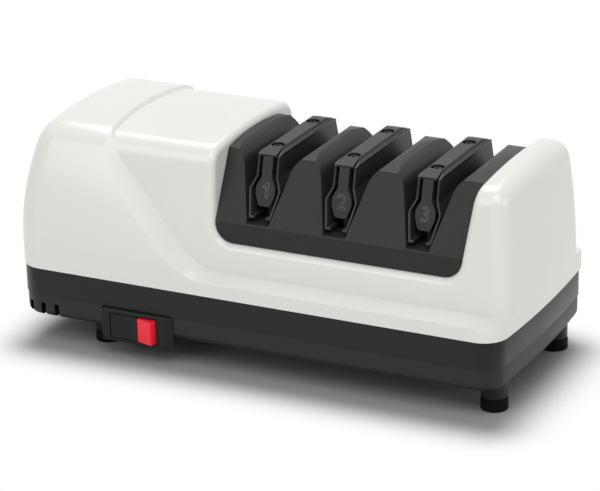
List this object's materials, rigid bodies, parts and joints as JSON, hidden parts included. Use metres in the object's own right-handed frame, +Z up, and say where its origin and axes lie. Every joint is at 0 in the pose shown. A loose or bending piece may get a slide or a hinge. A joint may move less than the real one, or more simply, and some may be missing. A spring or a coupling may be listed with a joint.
{
  "type": "electric knife sharpener",
  "caption": "Bench-top electric knife sharpener: moulded cover with motor hood, spring guides over motor-driven discs, rocker switch and rubber feet.",
  "frame": {"origin": "on the bench under the middle of the machine", "axes": "+X along the machine from the motor hood to the end block, +Y to the back, +Z up"},
  "size_m": [0.2558, 0.1224, 0.111],
  "materials": {
    "gloss_white": "glossy moulded plastic",
    "black_satin": "satin moulded plastic",
    "dark_grey": "fine satin moulded plastic",
    "strip_grey": "satin moulded plastic",
    "red_lens": "translucent red plastic",
    "rubber": "soft rubber",
    "screw_steel": "zinc plated",
    "black_screw": "blackened",
    "disc_steel": "fine diamond grit on steel",
    "strop_cream": "flexible abrasive polymer",
    "spring_steel": "bright wire",
    "shaft_steel": "ground",
    "lamination": "stacked sheet",
    "copper": "enamelled copper wire",
    "zinc_plate": "zinc plated sheet",
    "bronze": "sintered bronze",
    "fan_plastic": "moulded plastic",
    "ferrite": "ferrite",
    "terminal_brass": "tinned brass"
  },
  "bodies": {
    "housing": {"top_cover": "gloss_white", "base_frame": "black_satin", "base_pan": "black_satin", "foot_screws": "screw_steel", "cover_screws": "screw_steel", "cord_gland": "rubber", "guide_module": "dark_grey", "module_screws": "screw_steel", "strip_screws": "black_screw", "stator": "lamination", "field_coils": "copper", "bracket_rear": "zinc_plate", "bracket_front": "zinc_plate", "bearing_rear": "bronze", "bearing_front": "bronze", "motor_bolts": "screw_steel", "motor_spacers": "zinc_plate", "motor_screws": "screw_steel", "end_bracket": "zinc_plate", "bearing_end": "bronze", "end_screws": "screw_steel", "switch_body": "black_satin", "switch_terminals": "terminal_brass", "foot_front_left": "rubber", "foot_back_left": "rubber", "foot_front_right": "rubber", "foot_back_right": "rubber", "guide_core_1": "dark_grey", "top_strip_1": "strip_grey", "guide_core_2": "dark_grey", "top_strip_2": "strip_grey", "guide_core_3": "dark_grey", "top_strip_3": "strip_grey"},
    "drive": {"drive_shaft": "shaft_steel", "drive_pins": "shaft_steel", "rotor": "lamination", "fan": "fan_plastic", "disc_spring_1": "spring_steel", "disc_spring_2": "spring_steel", "disc_spring_3": "spring_steel"},
    "switch_rocker": {"rocker": "black_satin", "rocker_lens": "red_lens"},
    "cleanout_door": {"cleanout_cover": "black_satin", "magnet": "ferrite"},
    "disc_body_1_left": {"disc_1_left": "disc_steel"},
    "leaf_body_1_left": {"leaf_1_left": "dark_grey"},
    "disc_body_1_right": {"disc_1_right": "disc_steel"},
    "leaf_body_1_right": {"leaf_1_right": "dark_grey"},
    "disc_body_2_left": {"disc_2_left": "disc_steel"},
    "leaf_body_2_left": {"leaf_2_left": "dark_grey"},
    "disc_body_2_right": {"disc_2_right": "disc_steel"},
    "leaf_body_2_right": {"leaf_2_right": "dark_grey"},
    "disc_body_3_left": {"disc_3_left": "strop_cream"},
    "leaf_body_3_left": {"leaf_3_left": "dark_grey"},
    "disc_body_3_right": {"disc_3_right": "strop_cream"},
    "leaf_body_3_right": {"leaf_3_right": "dark_grey"}
  },
  "joints": [
    {"name": "shaft_turn", "type": "hinge", "parent": "housing", "child": "drive", "pos_m": [0, 0, 0.0592], "axis": [1, 0, 0], "continuous": true},
    {"name": "rocker_tilt", "type": "hinge", "parent": "housing", "child": "switch_rocker", "pos_m": [-0.0605, -0.0552, 0.017], "axis": [0, 0, 1], "range_deg": [0, 14]},
    {"name": "door_drop", "type": "slide", "parent": "housing", "child": "cleanout_door", "axis": [0, 0, -1], "range_m": [0, 0.01]},
    {"name": "disc_slide_1_left", "type": "slide", "parent": "drive", "child": "disc_body_1_left", "axis": [1, 0, 0], "range_m": [0, 0.0015], "stiffness_N_per_m": 800, "springref_m": -0.006, "deforming": ["disc_spring_1"]},
    {"name": "leaf_flex_1_left", "type": "hinge", "parent": "housing", "child": "leaf_body_1_left", "pos_m": [-0.00551, 0, 0.1038], "axis": [0, -1, 0], "range_deg": [0, 2.5], "stiffness_Nm_per_rad": 0.5, "springref_deg": -2.29},
    {"name": "disc_slide_1_right", "type": "slide", "parent": "drive", "child": "disc_body_1_right", "axis": [-1, 0, 0], "range_m": [0, 0.0015], "stiffness_N_per_m": 800, "springref_m": -0.006, "deforming": ["disc_spring_1"]},
    {"name": "leaf_flex_1_right", "type": "hinge", "parent": "housing", "child": "leaf_body_1_right", "pos_m": [0.00429, 0, 0.1038], "axis": [0, 1, 0], "range_deg": [0, 2.5], "stiffness_Nm_per_rad": 0.5, "springref_deg": -2.29},
    {"name": "disc_slide_2_left", "type": "slide", "parent": "drive", "child": "disc_body_2_left", "axis": [1, 0, 0], "range_m": [0, 0.0015], "stiffness_N_per_m": 800, "springref_m": -0.006, "deforming": ["disc_spring_2"]},
    {"name": "leaf_flex_2_left", "type": "hinge", "parent": "housing", "child": "leaf_body_2_left", "pos_m": [0.03371, 0, 0.1038], "axis": [0, -1, 0], "range_deg": [0, 2.5], "stiffness_Nm_per_rad": 0.5, "springref_deg": -2.29},
    {"name": "disc_slide_2_right", "type": "slide", "parent": "drive", "child": "disc_body_2_right", "axis": [-1, 0, 0], "range_m": [0, 0.0015], "stiffness_N_per_m": 800, "springref_m": -0.006, "deforming": ["disc_spring_2"]},
    {"name": "leaf_flex_2_right", "type": "hinge", "parent": "housing", "child": "leaf_body_2_right", "pos_m": [0.04351, 0, 0.1038], "axis": [0, 1, 0], "range_deg": [0, 2.5], "stiffness_Nm_per_rad": 0.5, "springref_deg": -2.29},
    {"name": "disc_slide_3_left", "type": "slide", "parent": "drive", "child": "disc_body_3_left", "axis": [1, 0, 0], "range_m": [0, 0.0015], "stiffness_N_per_m": 800, "springref_m": -0.006, "deforming": ["disc_spring_3"]},
    {"name": "leaf_flex_3_left", "type": "hinge", "parent": "housing", "child": "leaf_body_3_left", "pos_m": [0.07549, 0, 0.1038], "axis": [0, -1, 0], "range_deg": [0, 2.5], "stiffness_Nm_per_rad": 0.5, "springref_deg": -2.29},
    {"name": "disc_slide_3_right", "type": "slide", "parent": "drive", "child": "disc_body_3_right", "axis": [-1, 0, 0], "range_m": [0, 0.0015], "stiffness_N_per_m": 800, "springref_m": -0.006, "deforming": ["disc_spring_3"]},
    {"name": "leaf_flex_3_right", "type": "hinge", "parent": "housing", "child": "leaf_body_3_right", "pos_m": [0.08529, 0, 0.1038], "axis": [0, 1, 0], "range_deg": [0, 2.5], "stiffness_Nm_per_rad": 0.5, "springref_deg": -2.29}
  ]
}
